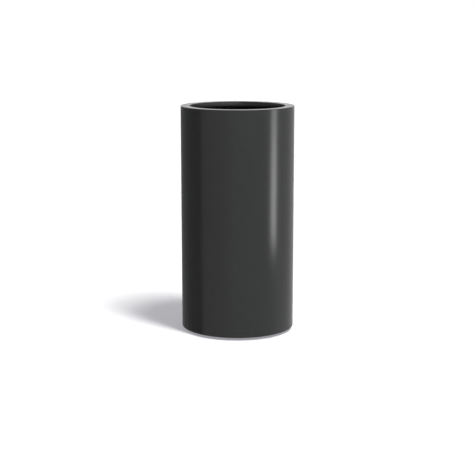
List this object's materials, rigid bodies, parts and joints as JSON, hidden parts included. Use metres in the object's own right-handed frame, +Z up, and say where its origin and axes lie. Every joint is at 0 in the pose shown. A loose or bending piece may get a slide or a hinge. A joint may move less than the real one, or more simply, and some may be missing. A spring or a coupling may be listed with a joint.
{
  "type": "planter",
  "caption": "Tall round sheet-metal planter with an inward rim and a lip, a raised base on levelling feet, and a loose slotted tray on brackets at half height.",
  "frame": {"origin": "on the floor under the middle of the planter, where the shell's axis meets the plane of the four soles", "axes": "+Z up along the shell's axis; +Y to the back, where the shell's vertical seam is; +X to the right seen from the front"},
  "size_m": [0.3999, 0.4, 0.8],
  "materials": {
    "powder_coat": "satin anthracite powder coat on aluminium sheet",
    "zinc": "bright zinc plate on steel",
    "nylon": "matte black moulded nylon",
    "rubber": "matte black rubber"
  },
  "bodies": {
    "planter_body": {"body_shell": "powder_coat", "rim_ring": "powder_coat", "rim_lip": "powder_coat", "base_plate": "powder_coat", "base_channel_front": "powder_coat", "base_channel_rear": "powder_coat", "shelf_bracket_1": "powder_coat", "shelf_bracket_2": "powder_coat", "shelf_bracket_3": "powder_coat", "shelf_bracket_4": "powder_coat", "foot_nut_1": "zinc", "foot_nut_2": "zinc", "foot_nut_3": "zinc", "foot_nut_4": "zinc"},
    "tray": {"tray_plate": "powder_coat", "tray_edge": "powder_coat"},
    "foot_pad_1": {"foot_pad_1": "nylon", "foot_sole_1": "rubber"},
    "foot_stud_1": {"foot_stud_1": "zinc"},
    "foot_pad_2": {"foot_pad_2": "nylon", "foot_sole_2": "rubber"},
    "foot_stud_2": {"foot_stud_2": "zinc"},
    "foot_pad_3": {"foot_pad_3": "nylon", "foot_sole_3": "rubber"},
    "foot_stud_3": {"foot_stud_3": "zinc"},
    "foot_pad_4": {"foot_pad_4": "nylon", "foot_sole_4": "rubber"},
    "foot_stud_4": {"foot_stud_4": "zinc"}
  },
  "joints": [
    {"name": "tray_lift", "type": "slide", "parent": "planter_body", "child": "tray", "axis": [0, 0, 1], "range_m": [0, 0.4]},
    {"name": "foot_1_height", "type": "slide", "parent": "planter_body", "child": "foot_pad_1", "axis": [0, 0, -1], "range_m": [0, 0.012]},
    {"name": "foot_1_turn", "type": "hinge", "parent": "foot_pad_1", "child": "foot_stud_1", "pos_m": [-0.09192, -0.09192, 0.02], "axis": [0, 0, -1], "range_deg": [0, 2880]},
    {"name": "foot_2_height", "type": "slide", "parent": "planter_body", "child": "foot_pad_2", "axis": [0, 0, -1], "range_m": [0, 0.012]},
    {"name": "foot_2_turn", "type": "hinge", "parent": "foot_pad_2", "child": "foot_stud_2", "pos_m": [0.09192, -0.09192, 0.02], "axis": [0, 0, -1], "range_deg": [0, 2880]},
    {"name": "foot_3_height", "type": "slide", "parent": "planter_body", "child": "foot_pad_3", "axis": [0, 0, -1], "range_m": [0, 0.012]},
    {"name": "foot_3_turn", "type": "hinge", "parent": "foot_pad_3", "child": "foot_stud_3", "pos_m": [0.09192, 0.09192, 0.02], "axis": [0, 0, -1], "range_deg": [0, 2880]},
    {"name": "foot_4_height", "type": "slide", "parent": "planter_body", "child": "foot_pad_4", "axis": [0, 0, -1], "range_m": [0, 0.012]},
    {"name": "foot_4_turn", "type": "hinge", "parent": "foot_pad_4", "child": "foot_stud_4", "pos_m": [-0.09192, 0.09192, 0.02], "axis": [0, 0, -1], "range_deg": [0, 2880]}
  ],
  "couplings": [
    {"joint": "foot_1_turn", "follows": "foot_1_height", "rad_per_m": 4188.8},
    {"joint": "foot_2_turn", "follows": "foot_2_height", "rad_per_m": 4188.8},
    {"joint": "foot_3_turn", "follows": "foot_3_height", "rad_per_m": 4188.8},
    {"joint": "foot_4_turn", "follows": "foot_4_height", "rad_per_m": 4188.8}
  ]
}
